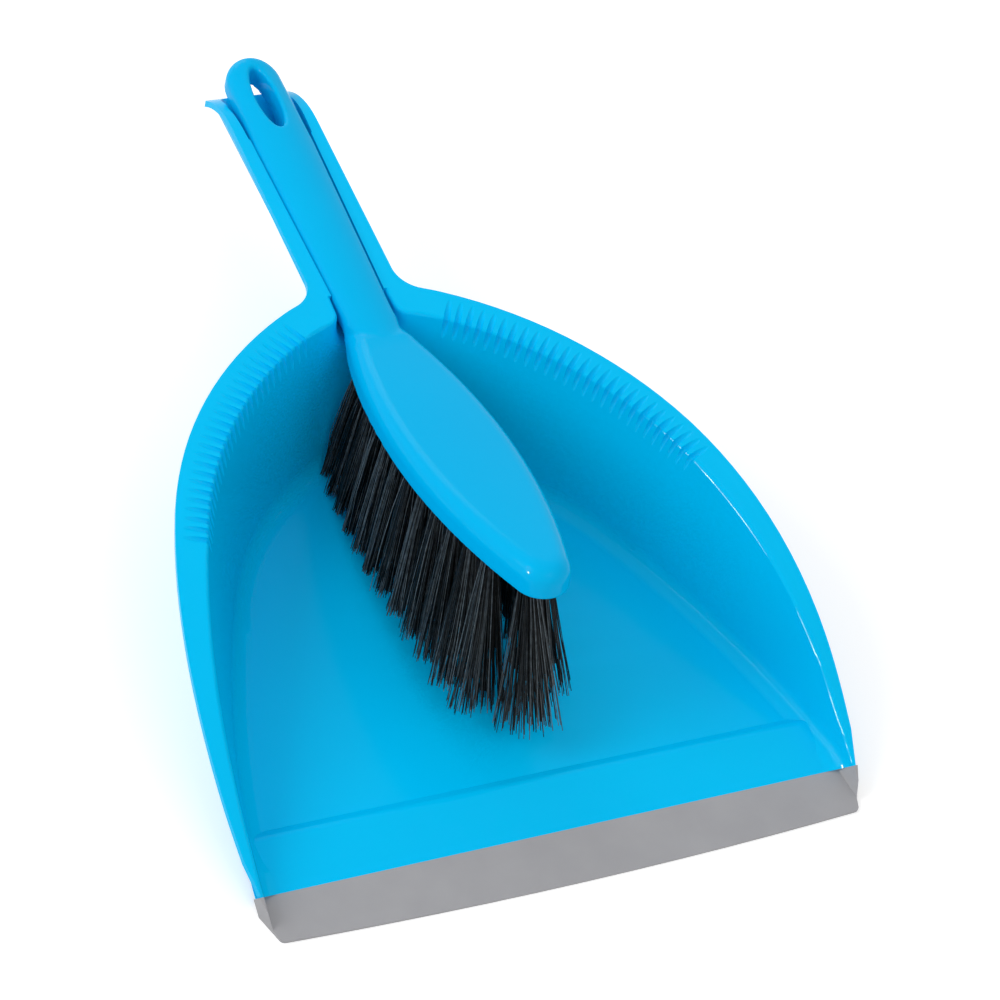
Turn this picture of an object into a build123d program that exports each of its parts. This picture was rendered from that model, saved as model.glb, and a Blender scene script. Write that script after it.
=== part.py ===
from build123d import *

import math
import os

os.makedirs("parts", exist_ok=True)

# A dust pan with a soft lip, and a hand brush that nests in the pan's handle trough.
# Lengths are millimetres. Y runs back from the lip edge to the handle end, Z is up, X is across.

# ---- pan body -------------------------------------------------------------
PAN_WALL = 2.4
FLOOR_TOP = 4.0
FLOOR_THICK = 2.2
FLOOR_UNDER = FLOOR_TOP - FLOOR_THICK
WALL_LEAN = 19.3
INNER_CORNER_R = 8.0
OUTER_CORNER_R = 9.0
BODY_HEIGHT = 78.0

# Plan of the floor: tangent arcs from the back centre round to the straight sides.
FLOOR_BACK_R = 36.6
FLOOR_BACK_Y = 167.1
FLOOR_BACK_ANGLE = 61.7
FLOOR_SIDE_R = 131.4
FLOOR_SIDE_ANGLE = 24.8
FLOOR_FRONT_R = 444.0
FLOOR_FRONT_ANGLE = 9.2

# Plan of the flange's outer edge, made the same way.
RIM_BACK_R = 66.5
RIM_BACK_Y = 169.0
RIM_BACK_ANGLE = 61.9
RIM_SIDE_R = 150.8
RIM_SIDE_ANGLE = 20.4
RIM_FRONT_R = 261.0
RIM_FRONT_ANGLE = -5.0

# Side profile of the rim: a steep line up from the mouth, an arc, and a gentle line to the handle end.
RIM_THICK = 2.4
RIM_START_Y = 13.5
RIM_START_Z = 8.7
RIM_FRONT_SLOPE = 25.2
RIM_REAR_SLOPE = 4.19
RIM_REAR_Y = 330.0
RIM_REAR_Z = 64.7
RIM_ARC_R = 289.0
RIM_EDGE_R = 1.5
TIP_HALF = 113.6
TAPER_HALF = 116.4
TAPER_Y = 26.0

# ---- ramp and lip ---------------------------------------------------------
MOUTH_HALF = 110.2
LIP_BOW = 3.0
LIP_EDGE_Z = 0.7
LIP_CORNER_R = 2.0
LIP_OVERHANG = 1.2
LIP_FLARE = 6.0
LIP_BACK_Y = 17.5
LIP_BACK_Z = 2.7
LIP_WING_TIP_Z = 2.2
TONGUE_LENGTH = 9.0
TONGUE_UNDER = 0.7
TONGUE_TOP = 1.5
TONGUE_ROOT_TOP = 1.9
TONGUE_INSET = 6.0
CREST_Y = 38.4
CREST_Z = 6.3
CREST_FOOT_Y = 42.4
RAMP_HALF = 113.0
RAMP_CORNER_R = 5.0
RAMP_CORE_HALF = 92.5
RAMP_CORE_SETBACK = 6.0
RAMP_CORE_TOE = 0.2
RAMP_CORE_DRAFT = 0.5
CREST_R = 4.0
RUNNER_X = 48.0
RUNNER_WIDTH = 2.0
RUNNER_START_Y = 50.0
RUNNER_LENGTH = 118.0
RUNNER_SINK = 0.5

# ---- comb grooves ---------------------------------------------------------
COMB_GROOVES = 27
COMB_FIRST_Y = 214.0
COMB_LAST_Y = 133.0
GROOVE_R = 1.2
GROOVE_DEPTH = 1.45
GROOVE_ON_RIM = 7.6
GROOVE_ON_WALL = 7.5
STATION_ROUNDS = 12

# ---- pan handle -----------------------------------------------------------
HANDLE_FLANGE_HALF = 17.5
HANDLE_END_Y = 351.0
HANDLE_ROLL_LENGTH = 29.0
HANDLE_ROLL_R = 40.0
HANDLE_ROOT_FILLET = 13.0
HANDLE_TIP_R = 2.5
TROUGH_DEPTH = 10.0
TROUGH_WALL = 2.2
TROUGH_CORNER_R = 5.0
TROUGH_START_Y = 188.0
TROUGH_MOUTH_R = 6.0
TROUGH_ROOT_R = 5.0
RELIEF_DEPTH = 4.0
GRIP_FRONT_Y = 233.0
GRIP_REAR_Y = 316.0
GRIP_GAP = 0.35
NOTCH_GAP = 0.8
FREE_GAP = 1.6
FLARE_GAP = 4.0

# ---- brush handle ---------------------------------------------------------
NECK_Y = 218.0
NECK_HALF = 9.9
NECK_REACH = 8.0
BELLY_Y = 310.0
BELLY_HALF = 12.1
END_Y = 346.0
END_HALF = 11.0
GRIP_BOTTOM = -8.8
GRIP_TOP_NECK = 3.8
GRIP_TOP_END = 5.0
GRIP_CROWN_R = 20.0
GRIP_TOP_R = 4.5
GRIP_BOTTOM_R = 5.0
TAPER_START_Y = 318.0
END_THICK = 10.2
HANG_HOLE_Y = 333.3
HANG_HOLE_LENGTH = 32.0
HANG_HOLE_WIDTH = 8.6
HANG_HOLE_CHAMFER = 1.0
CORE_START_Y = 238.0
CORE_END_Y = 309.0
CORE_WALL = 3.0
CORE_RIBS = 4
CORE_RIB_THICK = 1.6

# ---- brush head -----------------------------------------------------------
HEAD_AHEAD = 18.0
HEAD_RISE = 2.8
HEAD_TILT = 9.9
HEAD_HALF = 21.0
HEAD_WIDEST_Y = -55.5
HEAD_REAR_R = 255.0
HEAD_REAR_Y = 19.0
HEAD_FRONT_R = 253.0
HEAD_NOSE_R = 10.0
HEAD_SIDE = 11.0
HEAD_CROWN = 1.2
HEAD_CROWN_LENGTH = 240.0
HEAD_TOP_R = 6.5
HEAD_BOTTOM_R = 1.0
TAIL_START_Y = 9.0
TAIL_THICK = 6.0

# ---- tufts ----------------------------------------------------------------
ROW_COUNTS = (2, 3, 4, 4, 4, 4, 4, 4, 3, 3, 2, 2, 1)
ROW_PITCH = 10.4
FIRST_ROW_Y = 6.0
TUFT_ROOT_D = 4.9
HOLE_CLEARANCE = 0.1
TUFT_TIP_D = 10.0
TUFT_FREE_MAX = 66.0
HOLE_DEPTH = 7.0
TRIM_REAR_Y = 190.0
TRIM_REAR_Z = 4.8
TRIM_SLOPE = 4.6
EDGE_INSET = 6.0
REAR_FAN_ANGLE = 12.5
NOSE_FAN_ANGLE = 3.0
REAR_LEAN = 4.0
NOSE_LEAN = 16.0
NEST_GAP = 0.5
ANCHOR_LENGTH = 4.6
ANCHOR_HEIGHT = 1.8
ANCHOR_THICK = 0.45
ANCHOR_GAP = 0.05

# ---- oversize blanks, all trimmed to shape --------------------------------
BLANK_FRONT_Y = -20.0
BLANK_FAR_Y = -40.0
BLANK_HALF = 130.0
BLANK_TOP_Z = 60.0
BLANK_LOW_Z = -20.0
BLANK_BEYOND = 12.0
BLANK_MARGIN = 4.0
TRIM_BLOCK = 400.0
SHORT_EDGE = 12.0


def polar(radius, degrees):
    """Plan vector of a radius at an angle measured from the X axis."""
    return Vector(radius * math.cos(math.radians(degrees)), radius * math.sin(math.radians(degrees)))


def facing_up(face):
    """The face turned so that its normal points up."""
    return face if face.normal_at().Z > 0 else -face


def tapered_plan(start, end, start_gap, end_gap, height):
    """Four-sided plan round the brush handle between two distances from the lip, with its gaps."""
    ends = ((start, start_gap), (end, end_gap))
    right = [(handle_half(y) + gap, y - NECK_Y, height) for y, gap in ends]
    left = [(-x, y, z) for x, y, z in reversed(right)]
    return facing_up(Face(Wire.make_polygon(right + left, close=True)))


def arch_face(radii, angles, back_y, grow, mouth_y):
    """Closed arch, symmetric about the YZ plane: three tangent arcs a side, grown outwards."""
    centre = Vector(0, back_y)
    arcs = []
    start_angle = 90.0
    for radius, end_angle in zip(radii, angles):
        middle_angle = (start_angle + end_angle) / 2
        points = [centre + polar(radius + grow, a) for a in (start_angle, middle_angle, end_angle)]
        arcs.append(points)
        joint = centre + polar(radius, end_angle)
        next_radius = radii[len(arcs)] if len(arcs) < len(radii) else radius
        centre = joint - polar(next_radius, end_angle)
        start_angle = end_angle
    last = arcs[-1][2]
    side_x = last.X + (last.Y - mouth_y) * math.tan(math.radians(angles[-1]))
    edges = []
    for side in (1, -1):
        for first, middle, end in arcs:
            edges.append(
                Edge.make_three_point_arc(*[(side * p.X, p.Y, 0) for p in (first, middle, end)])
            )
        edges.append(Edge.make_line((side * last.X, last.Y, 0), (side * side_x, mouth_y, 0)))
    edges.append(Edge.make_line((side_x, mouth_y, 0), (-side_x, mouth_y, 0)))
    return facing_up(Face(Wire(edges)))


def floor_face(grow, mouth_y):
    """Plan of the inside of the pan at floor height, grown outwards."""
    radii = (FLOOR_BACK_R, FLOOR_SIDE_R, FLOOR_FRONT_R)
    angles = (FLOOR_BACK_ANGLE, FLOOR_SIDE_ANGLE, FLOOR_FRONT_ANGLE)
    return arch_face(radii, angles, FLOOR_BACK_Y, grow, mouth_y)


def rim_plan():
    """Plan of the flange's outer edge."""
    radii = (RIM_BACK_R, RIM_SIDE_R, RIM_FRONT_R)
    angles = (RIM_BACK_ANGLE, RIM_SIDE_ANGLE, RIM_FRONT_ANGLE)
    return arch_face(radii, angles, RIM_BACK_Y, 0, BLANK_FRONT_Y)


def cavity(gap):
    """Inside of the pan with its rounded floor corner, drawn in by a gap all round."""
    inner = leaning_solid(-gap, FLOOR_TOP + gap)
    low = [e for e in inner.edges() if e.bounding_box().max.Z < FLOOR_TOP + gap + 0.01]
    low = [e for e in low if e.bounding_box().max.Y > BLANK_FRONT_Y + 0.1]
    return fillet(low, INNER_CORNER_R)


def leaning_solid(grow, base_z):
    """Prism of the floor plan whose walls lean outwards as they rise."""
    base = Pos(0, 0, base_z) * floor_face(grow, BLANK_FRONT_Y)
    return extrude(base, amount=BODY_HEIGHT, taper=-WALL_LEAN)


def rim_geometry():
    """Tangent points and centre of the arc between the two straight parts of the rim profile."""
    front = math.radians(RIM_FRONT_SLOPE)
    rear = math.radians(RIM_REAR_SLOPE)
    rise = RIM_REAR_Z - RIM_START_Z + RIM_START_Y * math.tan(front) - RIM_REAR_Y * math.tan(rear)
    corner_y = rise / (math.tan(front) - math.tan(rear))
    corner_z = RIM_START_Z + (corner_y - RIM_START_Y) * math.tan(front)
    tangent = RIM_ARC_R * math.tan((front - rear) / 2)
    y1 = corner_y - tangent * math.cos(front)
    z1 = corner_z - tangent * math.sin(front)
    y2 = corner_y + tangent * math.cos(rear)
    z2 = corner_z + tangent * math.sin(rear)
    centre = (y1 + RIM_ARC_R * math.sin(front), z1 - RIM_ARC_R * math.cos(front))
    return (y1, z1), (y2, z2), centre


def rim_height(y):
    """Height of the rim's top surface at a distance from the lip."""
    (y1, z1), (y2, z2), (cy, cz) = rim_geometry()
    if y < y1:
        return z1 + (y - y1) * math.tan(math.radians(RIM_FRONT_SLOPE))
    if y > y2:
        return z2 + (y - y2) * math.tan(math.radians(RIM_REAR_SLOPE))
    return cz + math.sqrt(RIM_ARC_R**2 - (y - cy) ** 2)


def rim_path(inset):
    """Edges of the rim profile in the YZ plane, moved inwards by an inset, with its two ends."""
    front = math.radians(RIM_FRONT_SLOPE)
    rear = math.radians(RIM_REAR_SLOPE)
    (y1, z1), (y2, z2), (cy, cz) = rim_geometry()
    middle = (front + rear) / 2
    radius = RIM_ARC_R - inset
    p1 = (0, cy - radius * math.sin(front), cz + radius * math.cos(front))
    pm = (0, cy - radius * math.sin(middle), cz + radius * math.cos(middle))
    p2 = (0, cy - radius * math.sin(rear), cz + radius * math.cos(rear))
    start_y = BLANK_FRONT_Y - 5
    p0 = (0, start_y, p1[2] + (start_y - p1[1]) * math.tan(front))
    start = HANDLE_END_Y - HANDLE_ROLL_LENGTH
    roll_y = start + HANDLE_ROLL_R * math.sin(rear)
    roll_z = rim_height(start) - HANDLE_ROLL_R * math.cos(rear)
    roll = HANDLE_ROLL_R - inset
    fall = math.asin((HANDLE_END_Y + BLANK_MARGIN - roll_y) / HANDLE_ROLL_R)
    points = []
    for angle in (-rear, (fall - rear) / 2, fall):
        points.append((0, roll_y + roll * math.sin(angle), roll_z + roll * math.cos(angle)))
    r1, rm, r2 = points
    edges = [
        Edge.make_line(p0, p1),
        Edge.make_three_point_arc(p1, pm, p2),
        Edge.make_line(p2, r1),
        Edge.make_three_point_arc(r1, rm, r2),
    ]
    return edges, p0, r2


def across(face, half):
    """Extrude a face in the YZ plane to both sides of the middle."""
    return extrude(face, amount=half, dir=(1, 0, 0), both=True)


def rim_strip():
    """Plate of the rim's thickness that follows the rim profile."""
    top, top_start, top_end = rim_path(0)
    low, low_start, low_end = rim_path(RIM_THICK)
    ends = [Edge.make_line(top_start, low_start), Edge.make_line(top_end, low_end)]
    return across(Face(Wire(top + low + ends)), BLANK_HALF)


def below_rim():
    """Everything under the rim's top surface."""
    top, start, end = rim_path(0)
    low_start = (0, start[1], BLANK_LOW_Z)
    low_end = (0, end[1], BLANK_LOW_Z)
    ends = [
        Edge.make_line(start, low_start),
        Edge.make_line(low_start, low_end),
        Edge.make_line(low_end, end),
    ]
    return across(Face(Wire(top + ends)), BLANK_HALF)


def side_polygon(points, half):
    """Prism across X from a polygon given as (y, z) points."""
    wire = Wire.make_polygon([(0, y, z) for y, z in points], close=True)
    return across(Face(wire), half)


# Frame of both handles: its origin is on the rim line over the neck and it tilts with the rim.
HANDLE_FRAME = Location((0, NECK_Y, rim_height(NECK_Y)), (RIM_REAR_SLOPE, 0, 0))


def handle_half(y):
    """Half width of the brush handle at a distance from the lip."""
    return NECK_HALF + (BELLY_HALF - NECK_HALF) * (y - NECK_Y) / (BELLY_Y - NECK_Y)


def long_edges(shape, height):
    """Edges of a prism that lie at one height and run lengthways."""
    found = []
    for edge in shape.edges():
        box = edge.bounding_box()
        flat = abs(box.min.Z - height) < 0.01 and abs(box.max.Z - height) < 0.01
        if flat and box.size.Y > SHORT_EDGE:
            found.append(edge)
    return found


def trough_slot(start, end, start_gap, end_gap):
    """Slot with rounded floor corners that leaves a gap at each side of the brush handle."""
    floor = tapered_plan(start, end, start_gap, end_gap, -TROUGH_DEPTH)
    prism = extrude(floor, amount=BLANK_TOP_Z)
    return fillet(long_edges(prism, -TROUGH_DEPTH), TROUGH_CORNER_R)


def trough_space():
    """Inside of the trough, open upwards and at the handle end, wider ahead of and past the grip."""
    far = HANDLE_END_Y + BLANK_BEYOND
    space = trough_slot(TROUGH_START_Y, far, GRIP_GAP, GRIP_GAP)
    space = space + trough_slot(TROUGH_START_Y, GRIP_FRONT_Y, FLARE_GAP, NOTCH_GAP)
    relief = tapered_plan(GRIP_REAR_Y, far, NOTCH_GAP, FREE_GAP, -RELIEF_DEPTH)
    return HANDLE_FRAME * (space + extrude(relief, amount=BLANK_TOP_Z))


def trough_casing():
    """Outside of the trough, before it is cut to the pan's back wall and handle end."""
    bottom = -TROUGH_DEPTH - TROUGH_WALL
    far = HANDLE_END_Y + BLANK_BEYOND
    side = FREE_GAP + TROUGH_WALL
    plan = tapered_plan(TROUGH_START_Y, far, side, side, bottom)
    prism = extrude(plan, amount=-bottom)
    return HANDLE_FRAME * fillet(long_edges(prism, bottom), TROUGH_CORNER_R + TROUGH_WALL)


def handle_plan():
    """Plan of the rim flange and the two handle flanges, with concave roots between them."""
    half = HANDLE_FLANGE_HALF
    length = HANDLE_END_Y - RIM_BACK_Y
    bar = Pos(0, RIM_BACK_Y + length / 2) * Rectangle(2 * half, length)
    plan = (rim_plan() + bar).faces()[0]
    at_bar = [v for v in plan.vertices() if abs(abs(v.X) - half) < 0.01]
    roots = [v for v in at_bar if v.Y < HANDLE_END_Y - 1]
    plan = plan.fillet_2d(HANDLE_ROOT_FILLET, roots)
    tips = [v for v in plan.vertices() if v.Y > HANDLE_END_Y - 0.1]
    return plan.fillet_2d(HANDLE_TIP_R, tips)


def tip_tapers():
    """Cutters that narrow both ends of the flange towards the mouth."""
    slope = (TAPER_HALF - TIP_HALF) / (TAPER_Y - RIM_START_Y)
    low_x = TIP_HALF + slope * (BLANK_FRONT_Y - RIM_START_Y)
    corners = (
        (low_x, BLANK_FRONT_Y, 0),
        (TAPER_HALF, TAPER_Y, 0),
        (BLANK_HALF, TAPER_Y, 0),
        (BLANK_HALF, BLANK_FRONT_Y, 0),
    )
    cutter = extrude(facing_up(Face(Wire.make_polygon(corners, close=True))), amount=BLANK_TOP_Z)
    return [cutter, cutter.mirror(Plane.YZ)]


def groove_ends():
    """Where a comb groove runs out on the flange and on the wall, as (outward, up) from the corner."""
    on_rim = Vector(GROOVE_ON_RIM, 0)
    on_wall = Vector(-GROOVE_ON_WALL * math.tan(math.radians(WALL_LEAN)), -GROOVE_ON_WALL)
    return on_rim, on_wall


def groove_bars(end):
    """Round bars for the right comb, deepest at the rim's inner edge, that run out at one end."""
    lean = math.radians(WALL_LEAN)
    deepest = Vector(GROOVE_DEPTH / math.cos(lean) - GROOVE_DEPTH * math.tan(lean), -GROOVE_DEPTH)
    run = (deepest - end).normalized()
    lift = Vector(-run.Y, run.X) * GROOVE_R
    if lift.X > lift.Y:
        lift = -lift
    start = end + lift - run * BLANK_MARGIN
    length = (deepest - end).length + 2 * BLANK_MARGIN
    upright = (Align.CENTER, Align.CENTER, Align.MIN)
    bars = []
    for index in range(COMB_GROOVES):
        corner, outward = rim_station(index / (COMB_GROOVES - 1))
        height = rim_height(corner.Y) + start.Y
        place = Vector(corner.X + outward.X * start.X, corner.Y + outward.Y * start.X, height)
        heading = Vector(outward.X * run.X, outward.Y * run.X, run.Y)
        bar = Cylinder(GROOVE_R, length, align=upright)
        bars.append(Plane(origin=place, z_dir=heading) * bar)
    return bars


def rim_station(share):
    """Point on the rim's inner edge and the outward direction there, by share along the comb."""
    span = math.tan(math.radians(WALL_LEAN))
    back = Vector(0, FLOOR_BACK_Y) + polar(FLOOR_BACK_R, FLOOR_BACK_ANGLE)
    side_centre = back - polar(FLOOR_SIDE_R, FLOOR_BACK_ANGLE)
    first = comb_angle(side_centre, COMB_FIRST_Y, span)
    last = comb_angle(side_centre, COMB_LAST_Y, span)
    angle = first + (last - first) * share
    reach = FLOOR_SIDE_R
    for _ in range(STATION_ROUNDS):
        point = side_centre + polar(reach, angle)
        reach = FLOOR_SIDE_R + span * (rim_height(point.Y) - FLOOR_TOP)
    return side_centre + polar(reach, angle), polar(1, angle)


def comb_angle(centre, y, span):
    """Angle at which the rim's inner edge, round the side arc's centre, reaches a given Y."""
    reach = FLOOR_SIDE_R + span * (rim_height(y) - FLOOR_TOP)
    return math.degrees(math.asin((y - centre.Y) / reach))


def ramp_block():
    """Ramp from the lip up to a crest, falling again to the floor, with rounded back corners."""
    wedge = side_polygon(
        (
            (LIP_BACK_Y, FLOOR_UNDER),
            (LIP_BACK_Y, LIP_BACK_Z),
            (CREST_Y, CREST_Z),
            (CREST_FOOT_Y, FLOOR_TOP - 0.01),
            (CREST_FOOT_Y, FLOOR_UNDER),
        ),
        BLANK_HALF,
    )
    crest = [e for e in wedge.edges() if e.bounding_box().min.Z > CREST_Z - 0.01]
    wedge = fillet(crest, CREST_R)
    length = CREST_FOOT_Y - BLANK_FRONT_Y
    plan = Pos(0, CREST_FOOT_Y - length / 2) * Rectangle(2 * RAMP_HALF, length)
    corners = [v for v in plan.vertices() if v.Y > CREST_FOOT_Y - 1]
    return wedge & extrude(fillet(corners, RAMP_CORNER_R), amount=BLANK_TOP_Z)


def ramp_core():
    """Coring under the ramp, so that it keeps the floor's thickness."""
    start_y = LIP_BACK_Y + RAMP_CORE_SETBACK
    outline = (
        (start_y, 0),
        (start_y, FLOOR_UNDER + RAMP_CORE_TOE),
        (CREST_Y - RAMP_CORE_DRAFT, CREST_Z - FLOOR_THICK),
        (CREST_Y + RAMP_CORE_DRAFT, 0),
    )
    return side_polygon(outline, RAMP_CORE_HALF)


def lip_zone(gap):
    """Everything ahead of the slanted joint between lip and pan."""
    slope = (RIM_START_Y - LIP_BACK_Y) / (RIM_START_Z - LIP_BACK_Z)
    back_y = LIP_BACK_Y - gap
    return side_polygon(
        (
            (BLANK_FAR_Y, BLANK_LOW_Z),
            (back_y, BLANK_LOW_Z),
            (back_y, LIP_BACK_Z),
            (back_y + slope * (BLANK_TOP_Z - LIP_BACK_Z), BLANK_TOP_Z),
            (BLANK_FAR_Y, BLANK_TOP_Z),
        ),
        BLANK_HALF,
    )


def tongue():
    """Thin front tongue of the pan floor that the lip is moulded over."""
    start_y = LIP_BACK_Y - TONGUE_LENGTH
    bar = side_polygon(
        (
            (start_y, TONGUE_UNDER),
            (start_y, TONGUE_TOP),
            (LIP_BACK_Y, TONGUE_ROOT_TOP),
            (LIP_BACK_Y, TONGUE_UNDER),
        ),
        MOUTH_HALF - TONGUE_INSET,
    )
    return bar


def rim_edges(body, cavity):
    """Edges where the flange turns down into the wall: those on the brim of the cavity."""
    brim = Compound(children=[f for f in cavity.faces() if f.center().Z > rim_height(f.center().Y) - 1])
    found = []
    for edge in body.edges():
        middle = edge.position_at(0.5)
        if abs(middle.Z - rim_height(middle.Y)) < 0.1 and brim.distance_to(Vertex(*middle)) < 0.05:
            found.append(edge)
    return found


def junction_edges(body, walls):
    """Edges of the body where the trough meets the inner or the outer faces of the pan's walls."""
    surface = Compound(children=[f for f in walls.faces() if f.bounding_box().size.Z > BODY_HEIGHT / 2])
    found = []
    for edge in body.edges():
        middle = edge.position_at(0.5)
        near = abs(middle.X) < HANDLE_FLANGE_HALF and middle.Y > FLOOR_BACK_Y
        below = rim_height(middle.Y) - middle.Z
        if near and below < TROUGH_DEPTH + TROUGH_WALL + 1:
            if surface.distance_to(Vertex(*middle)) < 0.02:
                found.append(edge)
    return found


def build_shell():
    """The pan moulding: walls, floor, ramp, flange with comb, and handle trough."""
    lean = math.tan(math.radians(WALL_LEAN))
    skin = PAN_WALL / math.cos(math.radians(WALL_LEAN))
    inner = cavity(0)
    outer = leaning_solid(skin - FLOOR_THICK * lean, FLOOR_UNDER)
    outer_edges = [e for e in outer.edges() if e.bounding_box().max.Z < FLOOR_UNDER + 0.01]
    outer_edges = [e for e in outer_edges if e.bounding_box().max.Y > BLANK_FRONT_Y + 0.1]
    outer = fillet(outer_edges, OUTER_CORNER_R)
    under = below_rim()
    casing = trough_casing() & under
    plates = extrude(handle_plan(), amount=2 * BLANK_TOP_Z) & rim_strip()
    body = (outer & under) + plates + casing - inner - trough_space()
    body = fillet(junction_edges(body, inner), TROUGH_MOUTH_R)
    body = fillet(rim_edges(body, inner & under), RIM_EDGE_R)
    body = fillet(junction_edges(body, outer), TROUGH_ROOT_R)
    low = leaning_solid(-FLOOR_TOP * lean, 0)
    above_ramp = side_polygon(
        (
            (BLANK_FAR_Y, BLANK_LOW_Z),
            (LIP_BACK_Y, LIP_BACK_Z),
            (CREST_Y, CREST_Z),
            (CREST_Y, BLANK_TOP_Z),
            (BLANK_FAR_Y, BLANK_TOP_Z),
        ),
        BLANK_HALF,
    )
    low = low & above_ramp
    creases = [e for e in low.edges() if e.bounding_box().size.X < e.bounding_box().size.Y / 2]
    creases = [e for e in creases if e.bounding_box().max.Z < CREST_Z + 0.01]
    body = body - fillet(creases, INNER_CORNER_R)
    body = body + (ramp_block() & leaning_solid(skin, FLOOR_UNDER))
    body = body - ramp_core()
    body = body - lip_zone(0) - tip_tapers()
    body = body + tongue()
    for side in (1, -1):
        corner = (Align.CENTER, Align.MIN, Align.MIN)
        runner = Box(RUNNER_WIDTH, RUNNER_LENGTH, FLOOR_UNDER + RUNNER_SINK, align=corner)
        body = body + Pos(side * RUNNER_X, RUNNER_START_Y, 0) * runner
    for end in groove_ends():
        bars = groove_bars(end)
        body = body - bars
        body = body - [bar.mirror(Plane.YZ) for bar in bars]
    return body


def build_lip():
    """The soft lip: a wedge across the mouth with side wings, moulded over the tongue."""
    lean = math.tan(math.radians(WALL_LEAN))
    skin = PAN_WALL / math.cos(math.radians(WALL_LEAN))
    corner = Vector(MOUTH_HALF, 0, 0)
    bow = Edge.make_three_point_arc((-corner.X, 0, 0), (0, -LIP_BOW, 0), (corner.X, 0, 0))
    back = LIP_BACK_Y + LIP_CORNER_R
    wide = corner.X + LIP_FLARE
    plan = Face(
        Wire(
            [
                bow,
                Edge.make_line((corner.X, 0, 0), (wide, back, 0)),
                Edge.make_line((wide, back, 0), (-wide, back, 0)),
                Edge.make_line((-wide, back, 0), (-corner.X, 0, 0)),
            ]
        )
    )
    plan = facing_up(plan)
    tips = [v for v in plan.vertices() if v.Y < 1]
    prism = extrude(plan.fillet_2d(LIP_CORNER_R, tips), amount=BLANK_TOP_Z)
    outer = leaning_solid(skin - FLOOR_TOP * lean + LIP_OVERHANG, 0)
    wings = side_polygon(
        (
            (BLANK_FRONT_Y, 0),
            (BLANK_FRONT_Y, LIP_EDGE_Z),
            (0, LIP_WING_TIP_Z),
            (RIM_START_Y, RIM_START_Z),
            (2 * RIM_START_Y, 2 * RIM_START_Z),
            (2 * RIM_START_Y, 0),
        ),
        BLANK_HALF,
    )
    blank = prism & outer & wings & lip_zone(0)
    inside = leaning_solid(-FLOOR_TOP * lean, 0)
    above = side_polygon(
        (
            (BLANK_FRONT_Y, LIP_EDGE_Z),
            (-LIP_BOW, LIP_EDGE_Z),
            (LIP_BACK_Y, LIP_BACK_Z),
            (CREST_Y, CREST_Z),
            (CREST_Y, BLANK_TOP_Z),
            (BLANK_FRONT_Y, BLANK_TOP_Z),
        ),
        BLANK_HALF,
    )
    return blank - (inside & above) - tongue()


def head_half(y):
    """Half width of the brush head at a distance along its own frame."""
    radius = HEAD_REAR_R if y > HEAD_WIDEST_Y else HEAD_FRONT_R
    return HEAD_HALF - radius + math.sqrt(radius**2 - (y - HEAD_WIDEST_Y) ** 2)


def head_face():
    """Leaf-shaped plan of the brush head in its own frame, nose towards the mouth of the pan."""
    offset = HEAD_FRONT_R - HEAD_HALF
    reach = math.sqrt((HEAD_FRONT_R - HEAD_NOSE_R) ** 2 - offset**2)
    nose_y = HEAD_WIDEST_Y - reach
    touch = math.degrees(math.atan2(reach, offset))
    touch_x = HEAD_NOSE_R * math.cos(math.radians(touch))
    touch_y = nose_y - HEAD_NOSE_R * math.sin(math.radians(touch))
    front_mid = (HEAD_WIDEST_Y + touch_y) / 2
    rear_mid = (HEAD_WIDEST_Y + HEAD_REAR_Y) / 2
    tail = head_half(HEAD_REAR_Y)
    edges = [Edge.make_line((tail, HEAD_REAR_Y, 0), (-tail, HEAD_REAR_Y, 0))]
    for side in (1, -1):
        widest = (side * HEAD_HALF, HEAD_WIDEST_Y, 0)
        edges.append(
            Edge.make_three_point_arc(
                (side * tail, HEAD_REAR_Y, 0), (side * head_half(rear_mid), rear_mid, 0), widest
            )
        )
        edges.append(
            Edge.make_three_point_arc(
                widest, (side * head_half(front_mid), front_mid, 0), (side * touch_x, touch_y, 0)
            )
        )
    edges.append(
        Edge.make_three_point_arc(
            (touch_x, touch_y, 0), (0, nose_y - HEAD_NOSE_R, 0), (-touch_x, touch_y, 0)
        )
    )
    return facing_up(Face(Wire(edges)))


# Frame of the brush head: its top plane, rising towards the nose.
HEAD_FRAME = Location((0, NECK_Y - HEAD_AHEAD, rim_height(NECK_Y) + HEAD_RISE), (-HEAD_TILT, 0, 0))


def head_blank():
    """Brush head with a crowned top and rounded shoulders, in its own frame."""
    prism = extrude(Pos(0, 0, -HEAD_SIDE) * head_face(), amount=HEAD_SIDE + HEAD_CROWN)
    crown_r = (HEAD_HALF**2 + HEAD_CROWN**2) / (2 * HEAD_CROWN)
    crown = Pos(0, HEAD_WIDEST_Y, HEAD_CROWN - crown_r) * Rot(90, 0, 0)
    head = prism & crown * Cylinder(crown_r, HEAD_CROWN_LENGTH)
    top = [e for e in head.edges() if e.bounding_box().min.Z > -3.0]
    top = [e for e in top if e.bounding_box().min.Y < HEAD_REAR_Y - 1]
    head = fillet(top, HEAD_TOP_R)
    low = [e for e in head.edges() if e.bounding_box().max.Z < -HEAD_SIDE + 0.01]
    low = [e for e in low if e.bounding_box().min.Y < HEAD_REAR_Y - 1]
    head = fillet(low, HEAD_BOTTOM_R)
    tail_end = HEAD_REAR_Y + 1
    undercut = side_polygon(
        ((TAIL_START_Y, -HEAD_SIDE), (tail_end, -HEAD_SIDE), (tail_end, -TAIL_THICK)), 2 * HEAD_HALF
    )
    return head - undercut


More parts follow.
